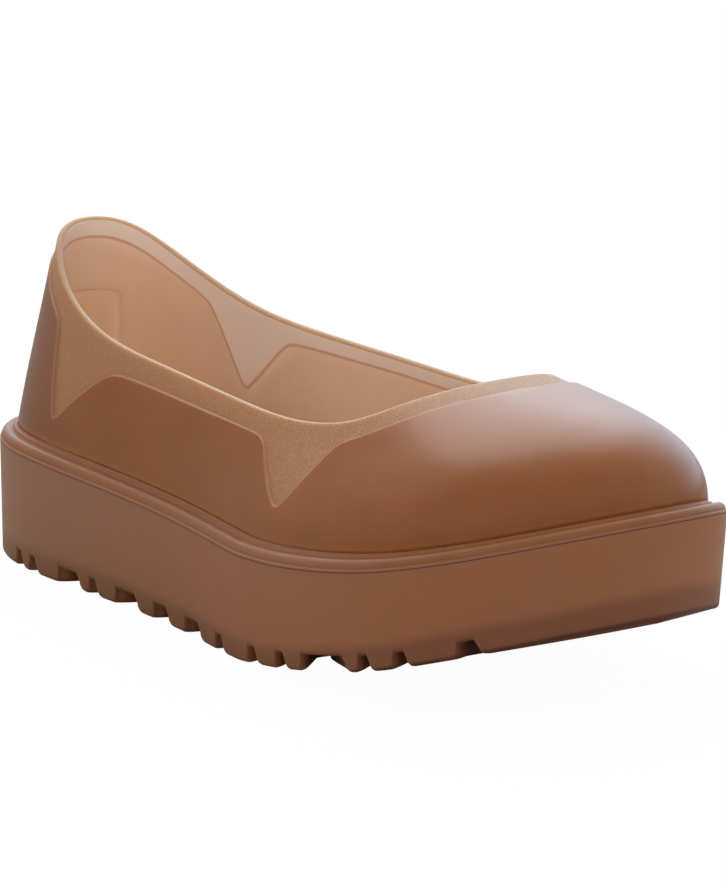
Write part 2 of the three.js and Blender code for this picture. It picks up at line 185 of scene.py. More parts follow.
rib_count = 2 * toe_rib
lateral_order = np.arange(0, toe_rib + 1)
medial_order = np.arange(toe_rib - 1, 0, -1)


def round_ribs(lateral, medial):
    """Values of the ribs once round the shoe: the lateral side to the toe, and the medial back."""
    return np.concatenate([ribs[lateral][lateral_order], ribs[medial][medial_order]])


foot_x = (round_ribs("along", "along") - 0.5) * shoe_length
foot_y = round_ribs("lateral", "medial") * ball_width
foot_steps = np.hypot(np.roll(foot_x, -1) - foot_x, np.roll(foot_y, -1) - foot_y)
rib_knots = np.concatenate([[0.0], np.cumsum(foot_steps)])
outline_x = closed_spline(rib_knots, foot_x)
outline_y = closed_spline(rib_knots, foot_y)

# Side of the outsole along the shoe, as shares of toe_spring, sidewall_height, sidewall_draft and
# outer_rise: how far its lower edge lifts to the toe, how tall it is, how far it leans in to the
# tread, and how far the lateral edge of the tread stands off the ground.
sole_sections = columns_of(
    ("along", "lift", "side", "draft", "outer"),
    [
        (0.00, 0.000, 0.964, 0.30, 0.00),
        (0.12, 0.000, 0.962, 0.40, 0.00),
        (0.25, 0.000, 0.938, 0.75, 0.00),
        (0.40, 0.000, 0.905, 1.00, 0.00),
        (0.50, 0.000, 0.890, 1.00, 0.05),
        (0.57, 0.000, 0.886, 1.00, 0.40),
        (0.63, 0.048, 0.874, 1.00, 0.95),
        (0.72, 0.195, 0.838, 1.05, 0.80),
        (0.81, 0.400, 0.792, 1.20, 0.15),
        (0.90, 0.665, 0.755, 1.40, 0.00),
        (1.00, 1.000, 0.730, 1.50, 0.00),
    ],
)
lift_share, side_share, draft_share, outer_share = (
    section_curve(sole_sections["along"], sole_sections[name])
    for name in ("lift", "side", "draft", "outer")
)


def sole_bottom(x):
    return lift_share(x / shoe_length + 0.5) * toe_spring


def welt_foot(x):
    return sole_bottom(x) + side_share(x / shoe_length + 0.5) * sidewall_height


def draft_at(x):
    return draft_share(x / shoe_length + 0.5) * sidewall_draft


def outer_at(x):
    return outer_share(x / shoe_length + 0.5) * outer_rise


def outline_point(place, inward):
    """Point on the outline of the welt's foot, moved level inwards."""
    nudge = 0.001
    run_x = outline_x((place + nudge) % rib_count) - outline_x((place - nudge) % rib_count)
    run_y = outline_y((place + nudge) % rib_count) - outline_y((place - nudge) % rib_count)
    run = np.hypot(run_x, run_y)
    x = outline_x(place % rib_count) - run_y / run * inward
    y = outline_y(place % rib_count) + run_x / run * inward
    return x, y


# Grooves between the lugs: middle and width at the side, as shares of the shoe's length, and how
# far they sweep to the toe on their way in, as a share of the groove reach.
grooves = columns_of(
    ("along", "width", "sweep"),
    [
        (0.126, 0.012, 0.30),
        (0.156, 0.012, 0.30),
        (0.226, 0.038, 0.30),
        (0.272, 0.012, 0.30),
        (0.336, 0.040, 0.30),
        (0.405, 0.029, 0.25),
        (0.475, 0.034, 0.10),
        (0.539, 0.015, -0.05),
        (0.614, 0.015, -0.45),
        (0.670, 0.015, -0.75),
        (0.742, 0.066, -1.40),
        (0.801, 0.012, -0.90),
        (0.844, 0.012, -0.90),
        (0.907, 0.014, -0.95),
    ],
)

# Across the sole the grid's lines lie close at both edges, and evenly in the middle.
edge_lines = np.array([0.0, 0.35, 0.8, 1.5, 2.6, 4.5, 7.5, 11.0, 15.0, 19.0, 21.5])
middle_shares = np.linspace(0.0, 1.0, 9)[1:]
heel_rib = np.interp(heel_end, ribs["along"], np.arange(toe_rib + 1))
toe_zone_rib = np.interp(toe_end, ribs["along"], np.arange(toe_rib + 1))


def foot_point(places):
    """Point at which the tread starts, under the side wall's rounded foot."""
    return outline_point(places, draft_at(outline_x(places % rib_count)) + lug_round)


def side_of_sole(direction):
    """Places round the outline and the sole's x there, on one side, heel to toe."""
    shares = np.linspace(0.0, toe_rib, side_samples)
    places = shares if direction < 0 else rib_count - shares
    return places, foot_point(places)[0]


lateral_places, lateral_x = side_of_sole(-1)
medial_places, medial_x = side_of_sole(1)


def lug_profile(slant):
    """Lines over one groove wall, from the lug into the groove: reach off the wall and depth."""
    lines = []
    for turn in (0, 30, 60, 90):
        angle = math.radians(turn)
        lines.append((lug_round * (1 - math.sin(angle)), lug_round * (1 - math.cos(angle))))
    lines.append((-slant, lug_depth - groove_round))
    lines.append((-slant - 0.3 * groove_round, lug_depth - 0.3 * groove_round))
    lines.append((-slant - groove_round, lug_depth))
    return lines


# The stations of the sole: each is one line across it, straight over a lug and swept along a
# groove. A lug's corner to the toe is the rounder one, and its wall to the heel the steeper one.
stations = []
for along, width, sweep in zip(grooves["along"], grooves["width"], grooves["sweep"]):
    half = width * shoe_length / 2
    front_slant = min(steepest_slant, heel_wall_slant * half + toe_wall_slant)
    walls = [(-1, toe_corner, line) for line in lug_profile(heel_wall_slant)]
    walls += [(1, heel_corner, line) for line in reversed(lug_profile(front_slant))]
    for side, corner, (reach, depth) in walls:
        stations.append({"middle": (along - 0.5) * shoe_length, "half": half, "sweep": sweep,
                         "side": side, "corner": corner, "reach": reach, "depth": depth})


def groove_x(station, edge_distance):
    """Place along the shoe of a groove's line, a distance in from the side of the sole."""
    half = station["half"]
    channel = min(channel_width / 2, half)
    share = np.clip(edge_distance / groove_reach, 0.0, 1.0)
    width = half + (channel - half) * share
    width = width + station["corner"] * np.exp(-edge_distance / corner_reach)
    swept = station["sweep"] * groove_reach * share
    return station["middle"] + swept + station["side"] * (width + station["reach"])


def across_lines(half_width):
    """Distances in from the side of the sole of the grid's lines, out to the middle."""
    scale = min(1.0, half_width / half_ball)
    edge = edge_lines * scale
    inner = edge[-1] + (half_width - edge[-1]) * middle_shares
    return np.concatenate([edge, inner])


sole_x, sole_y, sole_edge, sole_depth, station_places = [], [], [], [], []


def add_station(left_place, right_place, x_of, depth):
    """Adds a line across the sole between two places on its outline."""
    left = foot_point(np.array([left_place]))
    right = foot_point(np.array([right_place]))
    half_width = abs(right[1][0] - left[1][0]) / 2
    distance = across_lines(half_width)
    both = np.concatenate([distance, distance[-2::-1]])
    share = np.concatenate([distance, 2 * half_width - distance[-2::-1]])
    share = share / max(2 * half_width, 1e-6)
    base = left[0][0] + (right[0][0] - left[0][0]) * share
    y = left[1][0] + (right[1][0] - left[1][0]) * share
    sole_x.append(base if x_of is None else x_of(both))
    sole_edge.append(both)
    sole_y.append(y)
    sole_depth.append(depth)
    station_places.append((left_place, right_place))


def places_at(x):
    """Places round the outline, lateral and medial, of the line across the sole at x."""
    return np.interp(x, lateral_x, lateral_places), np.interp(x, medial_x, medial_places)


for share in np.linspace(0.0, 1.0, end_stations, endpoint=False):
    add_station(heel_rib * share, rib_count - heel_rib * share, None, 0.0)
heel_x = float(np.interp(heel_rib, lateral_places, lateral_x))
toe_x = float(np.interp(toe_zone_rib, lateral_places, lateral_x))


def fill_between(start, end, depth):
    """Even stations between two lines of the sole, each given by a function of the distance in."""
    gap = end[0] - start[0]
    steps = max(int(round(gap / station_step)), 1)
    for k in range(1, steps):
        share = k / steps
        left, right = places_at(start[0] + gap * share)

        def x_of(distance, share=share):
            return (1 - share) * start[1](distance) + share * end[1](distance)

        add_station(left, right, x_of, depth)


def line_of(station):
    return lambda distance: groove_x(station, distance)


def level_line(x):
    return lambda distance: np.full_like(distance, x)


# From heel to toe: even stations fill each lug and each groove, but not the walls between them.
last = (heel_x, level_line(heel_x))
left, right = places_at(heel_x)
add_station(left, right, last[1], 0.0)
last_depth = 0.0
for station in stations:
    edge = groove_x(station, np.array([0.0]))[0]
    here = (edge, line_of(station))
    if last_depth == 0.0 and station["depth"] == 0.0:
        fill_between(last, here, 0.0)
    elif last_depth == lug_depth and station["depth"] == lug_depth:
        fill_between(last, here, lug_depth)
    left, right = places_at(edge)
    add_station(left, right, here[1], station["depth"])
    last = here
    last_depth = station["depth"]
fill_between(last, (toe_x, level_line(toe_x)), 0.0)
for share in np.linspace(0.0, 1.0, end_stations):
    place = toe_zone_rib + (toe_rib - toe_zone_rib) * share
    add_station(place, rib_count - place, None, 0.0)

sole_x = np.array(sole_x)
sole_y = np.array(sole_y)
sole_edge = np.array(sole_edge)
sole_depth = np.array(sole_depth)
left_places = np.array([place for place, _ in station_places])
right_places = np.array([place for _, place in station_places])


def crowned(x, y_share, height):
    """Lowers a sheet across the raised toe, most in its middle."""
    return height - toe_crown * 4 * y_share * (1 - y_share) * lift_share(x / shoe_length + 0.5)


width_of = sole_y[:, -1:] - sole_y[:, :1]
across_share = (sole_y - sole_y[:, :1]) / np.where(width_of > 1e-6, width_of, 1.0)
outer_fall = np.where(across_share < 0.5, 1 - eased(sole_edge / outer_reach), 0.0)
bottom_z = crowned(sole_x, across_share, sole_bottom(sole_x) + sole_depth[:, None])
bottom_z = bottom_z + outer_at(sole_x) * outer_fall
bottom_sheet = np.stack([sole_x, sole_y, bottom_z], axis=-1)

# The side wall goes once round the sole, with one column at each end of every station.
ring_places = np.concatenate([left_places, right_places[-2:0:-1]])
ring_depth = np.concatenate([sole_depth, sole_depth[-2:0:-1]])
ring_edge_x = np.concatenate([sole_x[:, 0], sole_x[-2:0:-1, -1]])
ring_outer = np.where(ring_places < toe_rib, outer_at(ring_edge_x), 0.0)
ring_draft = draft_at(outline_x(ring_places))
edge_bottom = sole_bottom(ring_edge_x) + ring_outer
foot_height = edge_bottom + ring_depth


def ring_row(inward, height_of):
    """Row of points round the sole, moved level inwards."""
    x, y = outline_point(ring_places, inward)
    return np.stack([x, y, height_of(x)], axis=-1)


def rim_height(x):
    return welt_foot(x) - sole_gap


def inner_floor(x):
    return sole_bottom(x) + lug_depth + sole_floor


edge_rim = rim_height(ring_edge_x)


def leaning(height):
    """How far the side wall stands in at a height, from its draft."""
    return ring_draft * (edge_rim - height) / (edge_rim - edge_bottom)


# Rows from the lug's rounded edge up to the rim, over it, and down inside to the floor.
wall_rows = []
for turn in (0, 25, 50, 75, 90):
    angle = math.radians(turn)
    height = foot_height + lug_round * (1 - math.cos(angle))
    inward = leaning(height) + lug_round * (1 - math.sin(angle))
    wall_rows.append(ring_row(inward, lambda x, height=height: height))
low = foot_height + lug_round
for k in range(1, wall_steps):
    height = low + (edge_rim - rim_round - low) * k / wall_steps
    wall_rows.append(ring_row(leaning(height), lambda x, height=height: height))
height = edge_rim - 3 * rim_round
wall_rows.append(ring_row(leaning(height), lambda x, height=height: height))
for turn in (0, 30, 60, 90):
    angle = math.radians(turn)
    inward = rim_round * (1 - math.cos(angle))
    drop = rim_round * (1 - math.sin(angle))
    wall_rows.append(ring_row(inward, lambda x, drop=drop: rim_height(x) - drop))
wall_rows.append(ring_row(sole_wall - rim_round, rim_height))
wall_rows.append(ring_row(sole_wall, lambda x: rim_height(x) - rim_round))
inner_foot = sole_wall + ring_draft
for share in (0.25, 0.5, 0.75):
    wall_rows.append(
        ring_row(
            sole_wall + ring_draft * share,
            lambda x, share=share: rim_height(x)
            + (inner_floor(x) + floor_round - rim_height(x)) * share,
        )
    )
for turn in (0, 30, 60, 90):
    angle = math.radians(turn)
    inward = inner_foot + floor_round * (1 - math.cos(angle))
    rise = floor_round * (1 - math.sin(angle))
    wall_rows.append(ring_row(inward, lambda x, rise=rise: inner_floor(x) + rise))
wall_sheet = np.array(wall_rows)

# The sheet of the lugs ends on the lowest row of the side wall.
station_total = len(left_places)
foot_row = wall_sheet[0]
bottom_sheet[:, 0] = foot_row[:station_total]
bottom_sheet[1:-1, -1] = foot_row[: station_total - 1 : -1]
bottom_sheet[0] = foot_row[0]
bottom_sheet[-1] = foot_row[station_total - 1]
floor_left = wall_sheet[-1][:station_total]
floor_right = np.concatenate(
    [wall_sheet[-1][:1], wall_sheet[-1][: station_total - 1 : -1], floor_left[-1:]]
)
across = across_share[:, :, None]
floor_sheet = floor_left[:, None, :] * (1 - across) + floor_right[:, None, :] * across
floor_sheet[:, :, 2] = crowned(
    floor_sheet[:, :, 0], across_share, inner_floor(floor_sheet[:, :, 0])
)


def grid_faces(rows, columns, closed_rows, closed_columns, first=0):
    """Four-sided faces over a grid of points, numbered row by row."""
    row = np.arange(rows if closed_rows else rows - 1)
    column = np.arange(columns if closed_columns else columns - 1)
    row, column = np.meshgrid(row, column, indexing="ij")
    up = (row + 1) % rows
    on = (column + 1) % columns
    corners = [row * columns + column, row * columns + on, up * columns + on, up * columns + column]
    return (np.stack(corners, axis=-1).reshape(-1, 4) + first).tolist()


def make_piece(name, points, faces):
    """Adds a smooth mesh, given in millimetres, to the scene."""
    mesh = bpy.data.meshes.new(name)
    mesh.from_pydata((points * millimetre).tolist(), [], faces)
    mesh.polygons.foreach_set("use_smooth", [True] * len(mesh.polygons))
    piece = bpy.data.objects.new(name, mesh)
    bpy.context.scene.collection.objects.link(piece)
    return piece


def set_values(piece, name, values):
    """Keeps one number for each corner point of a piece, for its material to read."""
    layer = piece.data.attributes.new(name, "FLOAT", "POINT")
    layer.data.foreach_set("value", np.asarray(values, dtype=np.float32).ravel())


sheets = [bottom_sheet, wall_sheet, floor_sheet]
sole_points = np.concatenate([sheet.reshape(-1, 3) for sheet in sheets])
bottom_count = bottom_sheet.shape[0] * bottom_sheet.shape[1]
wall_count = wall_sheet.shape[0] * wall_sheet.shape[1]
floor_faces = grid_faces(*floor_sheet.shape[:2], False, False, bottom_count + wall_count)
sole_faces = (
    grid_faces(*bottom_sheet.shape[:2], False, False)
    + grid_faces(*wall_sheet.shape[:2], False, True, bottom_count)
    + [face[::-1] for face in floor_faces]
)
outsole = make_piece("outsole_rubber_block", sole_points, sole_faces)
under = [sole_edge.ravel(), np.zeros(wall_count + floor_sheet[:, :, 0].size)]
set_values(outsole, "under_sole", np.concatenate(under))
joined = bmesh.new()
joined.from_mesh(outsole.data)
bmesh.ops.remove_doubles(joined, verts=joined.verts, dist=weld_distance * millimetre)
bmesh.ops.recalc_face_normals(joined, faces=joined.faces)
joined.to_mesh(outsole.data)
joined.free()

sole_co = np.zeros(len(outsole.data.vertices) * 3, np.float32)
outsole.data.vertices.foreach_get("co", sole_co)
sole_co = sole_co.reshape(-1, 3) / millimetre
set_values(outsole, "above_tread", sole_co[:, 2] - sole_bottom(sole_co[:, 0]))
set_values(outsole, "along_shoe", sole_co[:, 0] / shoe_length + 0.5)


def tone(red, green, blue):
    """Colour of a paint chip, from the 0 to 255 numbers of a screen."""
    linear = [((part / 255 + 0.055) / 1.055) ** 2.4 for part in (red, green, blue)]
    return (*linear, 1.0)


def add_node(tree, kind, inputs=(), **settings):
    """Adds a shader node. An input is a number, a colour or the socket of another node."""
    made = tree.nodes.new(kind)
    for setting, value in settings.items():
        setattr(made, setting, value)
    for socket, value in dict(inputs).items():
        if isinstance(value, bpy.types.NodeSocket):
            tree.links.new(value, made.inputs[socket])
        else:
            made.inputs[socket].default_value = value
    return made


def mixed(tree, share, first, second):
    """Colour between two, from the first at 0 to the second at 1."""
    made = add_node(
        tree, "ShaderNodeMix", {0: share, 6: first, 7: second}, data_type="RGBA"
    )
    return made.outputs[2]


def reckon(tree, operation, first, second=0.0, third=0.0):
    """One step of arithmetic in a shader."""
    made = add_node(
        tree, "ShaderNodeMath", {0: first, 1: second, 2: third}, operation=operation
    )
    return made.outputs[0]


def painted(tree, colour, mask, amount, paint):
    """Lays a paint over a colour where the mask says, at most by the amount."""
    return mixed(tree, reckon(tree, "MULTIPLY", mask, amount), colour, paint)


def noise(tree, place, scale, detail, roughness):
    """Cloudy unevenness at a place, about a half on average."""
    inputs = {"Vector": place, "Scale": scale, "Detail": detail, "Roughness": roughness}
    return add_node(tree, "ShaderNodeTexNoise", inputs).outputs["Fac"]


def ramp(tree, value, low, high, start=0.0, end=1.0):
    """Eases from start to end while the value goes from low to high."""
    made = add_node(
        tree,
        "ShaderNodeMapRange",
        {"Value": value, "From Min": low, "From Max": high, "To Min": start, "To Max": end},
        interpolation_type="SMOOTHSTEP",
    )
    return made.outputs["Result"]


def stored(tree, name):
    """Number that was kept for the corner points of a piece."""
    return add_node(tree, "ShaderNodeAttribute", attribute_name=name).outputs["Fac"]


def shoe_place(tree):
    return add_node(tree, "ShaderNodeTexCoord").outputs["Object"]


def new_effect(name, inputs, outputs):
    """Starts a shader node group and gives its tree, its inputs and its output node."""
    group = bpy.data.node_groups.new(name, "ShaderNodeTree")
    for socket, (kind, value) in inputs.items():
        made = group.interface.new_socket(socket, in_out="INPUT", socket_type=kind)
        if value is not None:
            made.default_value = value
    for socket, kind in outputs.items():
        group.interface.new_socket(socket, in_out="OUTPUT", socket_type=kind)
    start = group.nodes.new("NodeGroupInput")
    end = group.nodes.new("NodeGroupOutput")
    return group, start.outputs, end


number = "NodeSocketFloat"
vector = "NodeSocketVector"
rubber_ior = 1.5
bump_height = 0.0002
dust_tone = tone(176, 150, 132)

# Mould grain: the fine skin that a blasted steel mould leaves on rubber, and slow unevenness.
grain_effect, given, put_out = new_effect(
    "mould_grain",
    {"Place": (vector, None), "Grain": (number, 2500.0), "Unevenness": (number, 60.0)},
    {"Height": number, "Cloud": number},
)
fine = noise(grain_effect, given["Place"], given["Grain"], 3.0, 0.6)
cloud = noise(grain_effect, given["Place"], given["Unevenness"], 4.0, 0.55)
grain_effect.links.new(fine, put_out.inputs["Height"])
grain_effect.links.new(cloud, put_out.inputs["Cloud"])

# Dust: pale specks and faint rubs that rubber picks up from handling.
dust_effect, given, put_out = new_effect(
    "handling_dust",
    {"Place": (vector, None), "Amount": (number, 0.5)},
    {"Mask": number},
)
rubbed = ramp(dust_effect, noise(dust_effect, given["Place"], 35.0, 6.0, 0.7), 0.5, 0.75)
specks = ramp(dust_effect, noise(dust_effect, given["Place"], 900.0, 2.0, 0.5), 0.62, 0.72)
dusty = reckon(dust_effect, "MULTIPLY_ADD", specks, 0.6, rubbed)
dust_mask = reckon(dust_effect, "MULTIPLY", dusty, given["Amount"])
dust_effect.links.new(dust_mask, put_out.inputs["Mask"])


def use_effect(tree, effect, inputs):
    return add_node(tree, "ShaderNodeGroup", inputs, node_tree=effect).outputs


def finish_rubber(tree, rubber, colour, gloss, scatter, height, strength):
    """Wires colour, gloss and bump of a rubber, and sets how light spreads inside it."""
    tree.links.new(colour, rubber.inputs["Base Color"])
    tree.links.new(gloss, rubber.inputs["Roughness"])
    rubber.inputs["IOR"].default_value = rubber_ior
    for socket, value in zip(("Weight", "Radius", "Scale"), scatter):
        rubber.inputs["Subsurface " + socket].default_value = value
    bump = add_node(
        tree, "ShaderNodeBump", {"Height": height, "Strength": strength, "Distance": bump_height}
    )
    tree.links.new(bump.outputs["Normal"], rubber.inputs["Normal"])


def new_material(name):
    """Starts a material and gives it, its tree and its shader."""
    material = bpy.data.materials.new(name)
    material.use_nodes = True
    tree = material.node_tree
    return material, tree, tree.nodes["Principled BSDF"]


sole_material, tree, rubber = new_material("outsole matt rubber")
where = shoe_place(tree)
grain = use_effect(
    tree, grain_effect, {"Place": where, "Grain": 2200.0, "Unevenness": 45.0}
)
dust = use_effect(tree, dust_effect, {"Place": where, "Amount": 0.35})
above = stored(tree, "above_tread")
along = stored(tree, "along_shoe")
under = stored(tree, "under_sole")
side_colour = mixed(tree, ramp(tree, along, 0.1, 0.85), tone(177, 124, 90), tone(191, 122, 82))
lug_colour = mixed(tree, ramp(tree, along, 0.3, 1.0), tone(158, 108, 74), tone(160, 101, 68))
# Painted light: the side wall is painted paler where it is a thin wall that light shines through,
# and darker over the solid tread, with a cloudy border between.
cloudy = reckon(tree, "MULTIPLY_ADD", grain["Cloud"], 3.0, -1.5)
solid_edge = reckon(tree, "ADD", above, cloudy)
colour = mixed(tree, ramp(tree, solid_edge, 5.5, 10.0), lug_colour, side_colour)
# Painted shade: a dark line along the foot of the side wall where the toe lifts off the floor.
toe_edge_shade = reckon(tree, "MULTIPLY", ramp(tree, above, 1.7, 0.4), ramp(tree, along, 0.62, 0.78))
colour = painted(tree, colour, toe_edge_shade, 0.8, tone(98, 46, 24))
# Painted shade: the tread darkens the further it lies in under the sole and up the grooves.
colour = mixed(tree, ramp(tree, under, 0.3, 3.5), colour, tone(160, 88, 46))
colour = mixed(tree, ramp(tree, under, 2.0, 18.0), colour, tone(104, 48, 20))
colour = painted(tree, colour, dust["Mask"], 0.25, dust_tone)
gloss = ramp(tree, grain["Cloud"], 0.3, 0.7, 0.42, 0.52)
gloss = reckon(tree, "MULTIPLY_ADD", dust["Mask"], 0.15, gloss)
scatter = (0.5, (1.0, 0.5, 0.3), 0.006)
finish_rubber(tree, rubber, colour, gloss, scatter, grain["Height"], 0.25)
outsole.data.materials.append(sole_material)
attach(outsole, "root")
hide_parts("outsole")

# Welt
# A moulded ring with a lip, a round shoulder, a groove and a fine bead. It stands on the rim of
# the outsole and carries the foot of the upper on its seat.
welt_width = 5.4
welt_height = 5.2
welt_wall = 3.2
band_wall = 2.2
panel_rise = 0.8
welt_columns = 760
seat_gap = 0.3
foot_gap = 0.03
crease_turn = 0.05
groove_inward = 0.70

# Outer face from the lip's foot to the crease under the upper, as shares of the welt's width
# inwards and of its height up.
welt_sections = columns_of(
    ("inward", "up"),
    [
        (0.010, 0.000),
        (0.000, 0.020),
        (0.000, 0.130),
        (0.022, 0.175),
        (0.062, 0.200),
        (0.075, 0.255),
        (0.090, 0.340),
        (0.160, 0.500),
        (0.270, 0.625),
        (0.400, 0.690),
        (0.530, 0.700),
        (0.630, 0.665),
        (0.700, 0.640),
        (0.755, 0.675),
        (0.800, 0.770),
        (0.850, 0.820),
        (0.900, 0.815),
        (0.940, 0.815),
        (0.975, 0.850),
        (1.000, 0.936),
    ],
)


def smooth_line(values, steps):
    """Curve through the values with a few points between each two."""
    padded = np.concatenate([[2 * values[0] - values[1]], values, [2 * values[-1] - values[-2]]])
    line = []
    for i in range(1, len(padded) - 2):
        slope_start = (padded[i + 1] - padded[i - 1]) / 2
        slope_end = (padded[i + 2] - padded[i]) / 2
        for k in range(steps):
            line.append(hermite(padded[i], padded[i + 1], slope_start, slope_end, k / steps))
    return np.array(line + [values[-1]])


seat = welt_height - seat_gap
seat_inner = welt_width + panel_rise + band_wall
outer_in = smooth_line(welt_sections["inward"] * welt_width, 3)
outer_up = smooth_line(welt_sections["up"] * welt_height, 3)
seat_in = [welt_width + 0.02, welt_width + crease_turn, seat_inner, seat_inner, sole_wall]
seat_up = [seat - 0.01, seat, seat, welt_height - welt_wall, 0.0]
profile_in = np.concatenate([outer_in, seat_in])
profile_up = np.concatenate([outer_up, seat_up])
welt_places = np.linspace(0.0, rib_count, welt_columns, endpoint=False)
welt_rows = []
for inward, up in zip(profile_in, profile_up):
    x, y = outline_point(welt_places, inward)
    welt_rows.append(np.stack([x, y, welt_foot(x) + up], axis=-1))
welt_sheet = np.array(welt_rows)
welt = make_piece(
    "welt_ring",
    welt_sheet.reshape(-1, 3),
    grid_faces(*welt_sheet.shape[:2], True, True),
)
row_inward = np.repeat(profile_in / welt_width, welt_columns)
row_up = np.repeat(profile_up / welt_height, welt_columns)
set_values(welt, "welt_inward", row_inward)
set_values(welt, "welt_up", row_up)
set_values(welt, "along_shoe", welt_sheet[:, :, 0] / shoe_length + 0.5)

welt_material, tree, rubber = new_material("welt satin rubber")
where = shoe_place(tree)
grain = use_effect(
    tree, grain_effect, {"Place": where, "Grain": 2600.0, "Unevenness": 60.0}
)
dust = use_effect(tree, dust_effect, {"Place": where, "Amount": 0.3})
inward = stored(tree, "welt_inward")
up = stored(tree, "welt_up")
colour = mixed(tree, ramp(tree, grain["Cloud"], 0.3, 0.7), tone(166, 103, 60), tone(172, 108, 64))
# Painted highlight: a paler line along the lip above the seam.
lip_highlight = ramp(tree, up, 0.24, 0.16)
colour = painted(tree, colour, lip_highlight, 0.8, tone(180, 118, 84))
# Painted shade: a dark line in the seam groove just above the outsole.
seam_shade = ramp(tree, up, 0.065, 0.03)
colour = painted(tree, colour, seam_shade, 0.75, tone(104, 52, 30))
# Painted highlight: a pale band over the top of the round shoulder.
shoulder_side = ramp(tree, inward, 0.12, 0.32)
shoulder_top = ramp(tree, inward, 0.68, 0.56)
shoulder_highlight = reckon(tree, "MULTIPLY", shoulder_side, shoulder_top)
colour = painted(tree, colour, shoulder_highlight, 0.3, tone(184, 146, 112))
# Painted shade: a darker line along the groove.
groove_near = reckon(tree, "ABSOLUTE", reckon(tree, "SUBTRACT", inward, groove_inward))
groove_shade = ramp(tree, groove_near, 0.09, 0.02)
# Painted light: the crease under the upper is painted paler, to lift the shade that falls in it.
welt_crease_light = ramp(tree, inward, 0.9, 1.0)
colour = painted(tree, colour, groove_shade, 0.3, tone(112, 64, 42))
colour = painted(tree, colour, welt_crease_light, 0.3, tone(214, 140, 86))
colour = painted(tree, colour, dust["Mask"], 0.25, dust_tone)
gloss = ramp(tree, grain["Cloud"], 0.3, 0.7, 0.46, 0.52)
gloss = reckon(tree, "MULTIPLY_ADD", dust["Mask"], 0.15, gloss)
scatter = (0.25, (1.0, 0.45, 0.25), 0.004)
finish_rubber(tree, rubber, colour, gloss, scatter, grain["Height"], 0.18)
welt.data.materials.append(welt_material)
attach(welt, "root")
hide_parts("welt")

# Upper
# One thin shell of translucent tan rubber, moulded over the last with raised satin panels and a
# frosted band under the rim. It is bonded into the seat of the welt, and has no lining.
notch_depth = 34.0
corner_round = 5.2
label_width = 26.0
label_height = 17.0
label_top = 24.0
label_rise = 0.8
label_corner = 2.0
label_bevel = 0.5
upper_columns = 660
even_samples = 8801
steep_margin = 0.012
steep_weight = 1.8
label_side = 0.53
label_weight = 2.5
label_reach = 2.2
level_depth = 20.0
above_rim = -60.0
length_steps = 200
step_half = 0.34
border_groove = 0.1
inner_shift = 1.2
around_nudge = 0.001
climb_nudge = 0.002
foot_share = 0.08
rim_radius = band_wall / 2

rim_x = closed_spline(rib_knots, (round_ribs("rim_along", "rim_along") - 0.5) * shoe_length)
rim_y = closed_spline(rib_knots, round_ribs("rim_lateral", "rim_medial") * ball_width)
rim_z = closed_spline(rib_knots, round_ribs("rim_rise", "rim_rise") * collar_height)
lean_of, low_of, high_of, tilt_of, band_of = (
    closed_spline(rib_knots, round_ribs(name, name))
    for name in ("lean", "low", "high", "tilt", "band")
)


def rib_handles(places):
    """Four points that each rib's curve is drawn on, from the foot to the rim."""
    places = places % rib_count
    x, y = outline_point(places, welt_width + panel_rise)
    foot = np.stack([x, y, welt_foot(x) + seat + foot_gap], axis=-1)
    rim = np.stack([rim_x(places), rim_y(places), rim_z(places)], axis=-1)
    reach = np.linalg.norm(rim - foot, axis=-1)[:, None]
    inward = (rim - foot) * (1.0, 1.0, 0.0)
    inward = inward / np.linalg.norm(inward, axis=-1)[:, None]
    upward = np.array([0.0, 0.0, 1.0])
    lean = upward + inward * lean_of(places)[:, None]
    lean = lean / np.linalg.norm(lean, axis=-1)[:, None]
    tilt = np.radians(tilt_of(places))[:, None]
    slope = inward * np.cos(tilt) + upward * np.sin(tilt)
    rise = (rim - foot)[:, 2:]
    low = foot + lean * low_of(places)[:, None] * rise
    high = rim - slope * high_of(places)[:, None] * reach
    return foot, low, high, rim


def on_rib(handles, share):
    """Points on the ribs at shares of the way up; share has one row for each row of points."""
    a, b, c, d = (handle[None, :, :] for handle in handles)
    share = share[:, :, None]
    rest = 1 - share
    return a * rest**3 + 3 * b * rest**2 * share + 3 * c * rest * share**2 + d * share**3


# V notches in the panels' upper edge, on both sides: where each starts behind, its point and its
# front end along the shoe, its depth as a share of notch_depth, how much its rear side hooks, and
# how blunt its point is.
notches = columns_of(
    ("side", "back", "point", "front", "depth", "hook", "tip"),
    [
        (-1, 0.137, 0.158, 0.262, 1.075, 1.0, 5.0),
        (-1, 0.585, 0.633, 0.758, 0.875, 1.5, 2.5),
        (1, 0.140, 0.187, 0.272, 1.100, 1.0, 12.0),
        (1, 0.585, 0.633, 0.758, 0.880, 1.5, 3.0),
    ],
)


def rib_at(along):
    return np.interp(along, ribs["along"], np.arange(toe_rib + 1))


# Columns lie closest where the panels' edges climb steeply, and at the sides of the label.
even_places = np.linspace(0.0, rib_count, even_samples)
even_x, even_y = outline_point(even_places[:-1], welt_width)
even_arc = np.hypot(np.roll(even_x, -1) - even_x, np.roll(even_y, -1) - even_y)
side_place = np.minimum(even_places[:-1], rib_count - even_places[:-1])
side_along = np.interp(side_place, np.arange(toe_rib + 1), ribs["along"])
closeness = np.ones_like(even_arc)
even_side = np.where(even_places[:-1] <= toe_rib, -1, 1)
for side, back, point in zip(notches["side"], notches["back"], notches["point"]):
    steep = np.abs(side_along - (back + point) / 2) < (point - back) / 2 + steep_margin
    closeness += steep_weight * (steep & (even_side == side))
heel_arc = np.minimum(np.cumsum(even_arc), np.sum(even_arc) - np.cumsum(even_arc))
closeness += label_weight * (np.abs(heel_arc - label_width * label_side) < label_reach)
running = np.concatenate([[0.0], np.cumsum(even_arc * closeness)])
upper_places = np.interp(
    np.linspace(0.0, running[-1], upper_columns, endpoint=False), running, even_places
)


